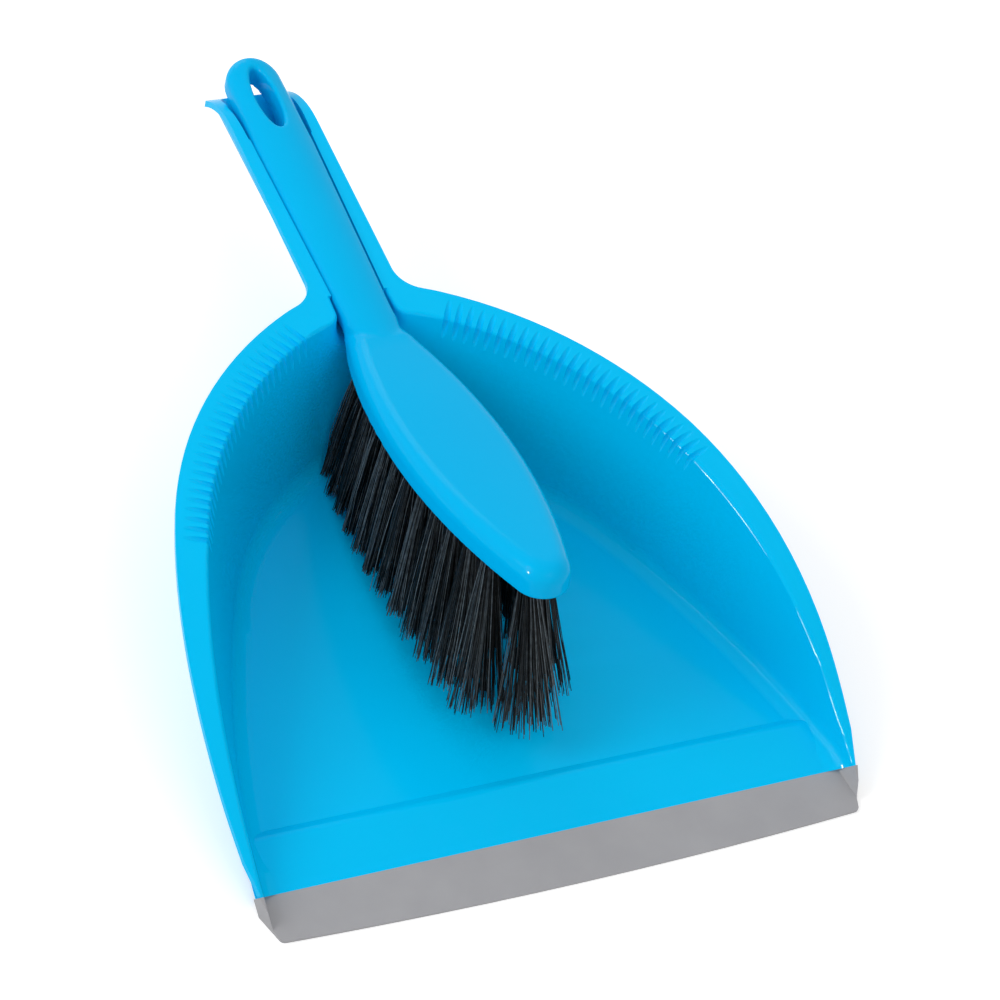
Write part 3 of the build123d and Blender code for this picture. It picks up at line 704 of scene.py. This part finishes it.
    def drawn(
        self,
        tree: bpy.types.NodeTree,
        given: bpy.types.NodeOutputs,
        points: bpy.types.NodeSocket,
        path: bpy.types.NodeSocket,
    ) -> bpy.types.NodeSocket:
        """Draw a thin solid strand from every point along its path.

        Args:
            tree: the strands' node tree.
            given: the tree's inputs.
            points: one point for each strand.
            path: the place of each point of a strand.

        Returns:
            The strands, in their finish.
        """
        line = add_node(tree, "GeometryNodeCurvePrimitiveLine").outputs[0]
        line = add_node(
            tree, "GeometryNodeResampleCurve", {"Curve": line, "Count": given["Joints"]}
        ).outputs[0]
        copies = add_node(
            tree, "GeometryNodeInstanceOnPoints", {"Points": points, "Instance": line}
        ).outputs[0]
        curves = add_node(tree, "GeometryNodeRealizeInstances", {"Geometry": copies}).outputs[0]
        curves = add_node(
            tree, "GeometryNodeSetPosition", {"Geometry": curves, "Position": path}
        ).outputs[0]
        half = add_node(
            tree, "ShaderNodeMath", {0: given["Width"], 1: 0.5}, operation="MULTIPLY"
        ).outputs[0]
        profile = add_node(
            tree,
            "GeometryNodeCurvePrimitiveCircle",
            {"Resolution": given["Sides"], "Radius": half},
        ).outputs[0]
        solid = add_node(
            tree,
            "GeometryNodeCurveToMesh",
            {"Curve": curves, "Profile Curve": profile, "Fill Caps": True},
        ).outputs[0]
        whole = add_node(tree, "GeometryNodeRealizeInstances", {"Geometry": solid}).outputs[0]
        return add_node(
            tree, "GeometryNodeSetMaterial", {"Geometry": whole, "Material": given["Finish"]}
        ).outputs[0]

    def tree(self, inputs: dict[str, tuple[str, Any]]) -> bpy.types.NodeTree:
        """Build the node tree that grows the strands on the tufts' points.

        Args:
            inputs: the socket type and value of each size, by its name.

        Returns:
            The tree.
        """
        tree = bpy.data.node_groups.new("tuft_strands", "GeometryNodeTree")
        geometry = "NodeSocketGeometry"
        tree.interface.new_socket(name="Tufts", in_out="INPUT", socket_type=geometry)
        for name, (kind, _) in inputs.items():
            tree.interface.new_socket(name=name, in_out="INPUT", socket_type=kind)
        tree.interface.new_socket(name="Strands", in_out="OUTPUT", socket_type=geometry)
        given = add_node(tree, "NodeGroupInput").outputs
        points = self.rooted(tree, given)
        path = self.nested(tree, given, self.bowed(tree))
        strands = self.drawn(tree, given, points, path)
        add_node(tree, "NodeGroupOutput", {"Strands": strands})
        return tree

    def build(self) -> None:
        """Grow the strands and keep them as one plain mesh in place of the plain tufts."""
        source, slope = self.seeds()
        inputs = self.inputs(slope)
        grow = source.modifiers.new("strands", "NODES")
        grow.node_group = self.tree(inputs)
        for item in grow.node_group.interface.items_tree:
            if item.in_out == "INPUT" and item.name in inputs:
                grow[item.identifier] = inputs[item.name][1]
        grown = source.evaluated_get(bpy.context.evaluated_depsgraph_get())
        mesh = bpy.data.meshes.new_from_object(grown)
        mesh.name = "bristles"
        bpy.data.objects.remove(source)
        piece = add_object("bristles", mesh)
        tufts = self.nodes()
        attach(piece, self.body)
        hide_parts(*tufts)
        LOG.info("bristles: %d strands, %d faces", self.strands * len(tufts), len(mesh.polygons))


@dataclass
class Brush:
    """The brush block with its handle, and the anchors in its holes.

    The block is one moulding whose handle flows into its head, so the fold that the plain part has
    between them is drawn out over the length of the neck. Its skin is rebuilt with an even grain,
    and evened out in a few rounds all over and in many at the fold.
    """

    body: str = "brush"
    block: str = "brush_block"
    anchors: str = "tuft_anchors"
    joining: float = 0.002 * MM
    sliver: float = 0.001 * MM
    grain: float = 0.6 * MM
    crest_half: float = 2.0 * MM
    fold_y: float = 31.5 * MM
    reach: float = 26.0 * MM
    blend: float = 9.0 * MM
    pull_in: float = 0.5
    push_out: float = -0.51
    settle: int = 6
    settle_fold: int = 60

    def skin(self) -> bpy.types.Mesh:
        """Copy the CAD block, join its loose triangles and rebuild it with an even grain.

        Returns:
            The closed skin.
        """
        mesh = bpy.data.meshes.new("brush_skin")
        build = bmesh.new()
        build.from_mesh(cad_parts[self.block].data)
        bmesh.ops.remove_doubles(build, verts=build.verts, dist=self.joining)
        bmesh.ops.dissolve_degenerate(build, dist=self.sliver, edges=build.edges)
        build.to_mesh(mesh)
        build.free()
        source = add_object("brush_skin", mesh)
        remesh = source.modifiers.new("remesh", "REMESH")
        remesh.mode = "VOXEL"
        remesh.voxel_size = self.grain
        grown = source.evaluated_get(bpy.context.evaluated_depsgraph_get())
        skin = bpy.data.meshes.new_from_object(grown)
        bpy.data.objects.remove(source)
        return skin

    def profile(self, points: np.ndarray, stations: np.ndarray) -> tuple[np.ndarray, np.ndarray]:
        """Measure the block's top line and half width along the neck.

        Args:
            points: the block's vertices.
            stations: evenly spaced places along Y.

        Returns:
            The height of the top and the half width at each place.
        """
        step = stations[1] - stations[0]
        tops, halves = [], []
        for y in stations:
            near = points[np.abs(points[:, 1] - y) < step]
            tops.append(near[np.abs(near[:, 0]) < self.crest_half, 2].max())
            halves.append(np.abs(near[:, 0]).max())
        return np.array(tops), np.array(halves)

    def eased(self, line: np.ndarray, step: float) -> np.ndarray:
        """Average a measured line over the blend length, except near its two ends.

        Args:
            line: the values along Y.
            step: the distance between them.

        Returns:
            The smoother line.
        """
        half = int(round(self.blend / step))
        window = np.hanning(2 * half + 3)[1:-1]
        smooth = np.convolve(line, window / window.sum(), mode="same")
        smooth[:half] = line[:half]
        smooth[-half:] = line[-half:]
        return smooth

    def draw_out(self, points: np.ndarray) -> np.ndarray:
        """Move the vertices near the neck onto the smoother top line and outline.

        Args:
            points: the block's vertices.

        Returns:
            The moved vertices.
        """
        stations = np.arange(self.fold_y - self.reach, self.fold_y + self.reach, self.grain)
        tops, halves = self.profile(points, stations)
        rise = self.eased(tops, self.grain) - tops
        widen = self.eased(halves, self.grain) / halves
        moved = points.copy()
        moved[:, 2] += np.interp(points[:, 1], stations, rise, left=0.0, right=0.0)
        moved[:, 0] *= np.interp(points[:, 1], stations, widen, left=1.0, right=1.0)
        return moved

    def relax(
        self, points: np.ndarray, edges: np.ndarray, weights: np.ndarray, rounds: int
    ) -> np.ndarray:
        """Even out a surface without shrinking it, by steps in and back out.

        Args:
            points: the vertices.
            edges: pairs of vertex numbers.
            weights: how far each vertex takes part, from 0 to 1.
            rounds: how many steps to take.

        Returns:
            The evened vertices.
        """
        total = len(points)
        shared = np.bincount(edges.ravel(), minlength=total)[:, None]
        for index in range(rounds):
            pull = np.empty_like(points)
            for axis in range(3):
                line = points[:, axis]
                pull[:, axis] = np.bincount(edges[:, 0], line[edges[:, 1]], total)
                pull[:, axis] += np.bincount(edges[:, 1], line[edges[:, 0]], total)
            rate = self.pull_in if index % 2 == 0 else self.push_out
            points = points + rate * weights[:, None] * (pull / shared - points)
        return points

    def smooth_block(self) -> bpy.types.Object:
        """Rebuild the block as an even skin with a flowing neck.

        Returns:
            The finished piece.
        """
        mesh = self.skin()
        edges = np.empty(len(mesh.edges) * 2, dtype=np.int64)
        mesh.edges.foreach_get("vertices", edges)
        edges = edges.reshape(-1, 2)
        points = self.draw_out(vertex_places(mesh))
        everywhere = np.ones(len(points))
        # In full over the middle half of the reach, and fading to nothing at its ends.
        near_fold = 1.0 - np.abs(points[:, 1] - self.fold_y) / self.reach
        at_fold = np.clip(2.0 * near_fold, 0.0, 1.0)
        points = self.relax(points, edges, everywhere, self.settle)
        points = self.relax(points, edges, at_fold, self.settle_fold)
        mesh.vertices.foreach_set("co", points.ravel())
        mesh.shade_smooth()
        mesh.update()
        mesh.materials.clear()
        mesh.materials.append(Finish.BRUSH.material())
        mesh.name = "brush_body"
        piece = add_object("brush_body", mesh)
        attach(piece, self.body)
        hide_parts(self.block)
        return piece

    def build(self) -> None:
        """Build the block and dress the anchors."""
        piece = self.smooth_block()
        LOG.info("brush: %s with %d faces", piece.name, len(piece.data.polygons))
        dress_node(self.anchors, Finish.WIRE)
        LOG.info("brush: %s dressed", self.anchors)


def seen_directly(tree: bpy.types.NodeTree) -> bpy.types.NodeSocket:
    """Build the test for rays from the camera, a reflection or clear glass.

    Args:
        tree: the node tree of a material or the world.

    Returns:
        An output that is 1 for such rays and 0 for light cast on the set.
    """
    path = add_node(tree, "ShaderNodeLightPath").outputs
    mirrored = add_node(
        tree,
        "ShaderNodeMath",
        {0: path["Is Glossy Ray"], 1: path["Is Transmission Ray"]},
        operation="MAXIMUM",
    ).outputs["Value"]
    return add_node(
        tree, "ShaderNodeMath", {0: path["Is Camera Ray"], 1: mirrored}, operation="MAXIMUM"
    ).outputs["Value"]


@dataclass(frozen=True)
class Lamp:
    """A square lamp that faces the set, with its place and size in metres and its power in watts.

    A gleam-only lamp shows in the gloss of edges and casts no light or shadow.
    """

    name: str
    place: tuple[float, float, float]
    size: float
    power: float
    gleam_only: bool = False

    def build(self) -> None:
        """Stand the lamp at its place and turn it to the set."""
        data = bpy.data.lights.new(self.name, "AREA")
        data.shape = "SQUARE"
        data.size = self.size
        data.energy = self.power
        lamp = add_object(self.name, data)
        lamp.location = self.place
        lamp.rotation_euler = (-Vector(self.place)).to_track_quat("-Z", "Y").to_euler()
        lamp.visible_diffuse = not self.gleam_only


@dataclass
class Studio:
    """Pale floor, soft lamps, plain world and the camera."""

    azimuth: float = -34.991
    elevation: float = 44.039
    roll: float = 16.024
    centre: tuple[float, float, float] = (-0.46716, -0.73641, 0.86193)
    lens: float = 118.8
    sensor: float = 36.0
    far: float = 50.0
    lamps: tuple[Lamp, ...] = (
        Lamp("left_lamp", (-1.60, 0.3, 1.2), 0.9, 13.5),
        Lamp("front_lamp", (0.1, -1.5, 1.5), 0.9, 5.0),
        Lamp("back_lamp", (0.0, 1.75, 1.1), 0.9, 5.0),
        Lamp("gleam_lamp", (-1.95, -0.17, 0.86), 0.08, 55.0, gleam_only=True),
    )
    floor_size: float = 8.0
    floor_gap: float = 0.05 * MM
    floor_shade: float = 0.8
    floor_glow: float = 0.36
    ambient: float = 0.68

    def camera(self) -> None:
        """Stand the camera at its place and turn it by azimuth, elevation and roll."""
        turn, rise, roll = (math.radians(a) for a in (self.azimuth, self.elevation, self.roll))
        back = Vector(
            (math.sin(turn) * math.cos(rise), -math.cos(turn) * math.cos(rise), math.sin(rise))
        )
        right = Vector((math.cos(turn), math.sin(turn), 0.0))
        up = back.cross(right)
        basis = Matrix((right, up, back)).transposed() @ Matrix.Rotation(roll, 3, "Z")
        data = bpy.data.cameras.new("camera")
        data.lens = self.lens
        data.sensor_width = self.sensor
        data.clip_end = self.far
        view = add_object("camera", data)
        view.matrix_world = Matrix.Translation(Vector(self.centre)) @ basis.to_4x4()
        bpy.context.scene.camera = view

    def world(self) -> None:
        """Pale world: white where the camera and reflections see it, softer as a light."""
        world = bpy.data.worlds.new("studio_world")
        world.use_nodes = True
        tree = world.node_tree
        tree.nodes.clear()
        strength = add_node(
            tree,
            "ShaderNodeMapRange",
            {"Value": seen_directly(tree), "To Min": self.ambient, "To Max": 1.0},
        )
        light = add_node(
            tree,
            "ShaderNodeBackground",
            {"Color": (1, 1, 1, 1), "Strength": strength.outputs["Result"]},
        )
        add_node(tree, "ShaderNodeOutputWorld", {"Surface": light.outputs["Background"]})
        bpy.context.scene.world = world

    def floor(self) -> None:
        """Pale floor that keeps the set's shadow."""
        mesh = bpy.data.meshes.new("floor")
        half = self.floor_size / 2
        level = CAD_BOX[0][2] - self.floor_gap
        around = ((-half, -half), (half, -half), (half, half), (-half, half))
        mesh.from_pydata([(x, y, level) for x, y in around], [], [(0, 1, 2, 3)])
        piece = add_object("floor", mesh)
        material, tree = new_material("pale_floor")
        shade = (self.floor_shade, self.floor_shade, self.floor_shade, 1.0)
        matt = add_node(tree, "ShaderNodeBsdfDiffuse", {"Color": shade})
        lift = add_node(
            tree,
            "ShaderNodeMath",
            {0: seen_directly(tree), 1: self.floor_glow},
            operation="MULTIPLY",
        )
        glow = add_node(
            tree, "ShaderNodeEmission", {"Color": (1, 1, 1, 1), "Strength": lift.outputs["Value"]}
        )
        both = add_node(
            tree, "ShaderNodeAddShader", {0: matt.outputs["BSDF"], 1: glow.outputs["Emission"]}
        )
        add_node(tree, "ShaderNodeOutputMaterial", {"Surface": both.outputs["Shader"]})
        mesh.materials.append(material)

    def build(self) -> None:
        """Set up the whole studio."""
        self.camera()
        for lamp in self.lamps:
            lamp.build()
        self.world()
        self.floor()
        bpy.context.scene.view_settings.view_transform = "Standard"
        LOG.info("studio: floor, world, camera and %d lamps", len(self.lamps))


def main() -> None:
    """Build the studio and the set, in order."""
    logging.basicConfig(level=logging.INFO, format="%(name)s: %(message)s")
    for part in (Studio(), Pan(), Brush(), Bristles()):
        part.build()


if __name__ == "__main__":
    main()
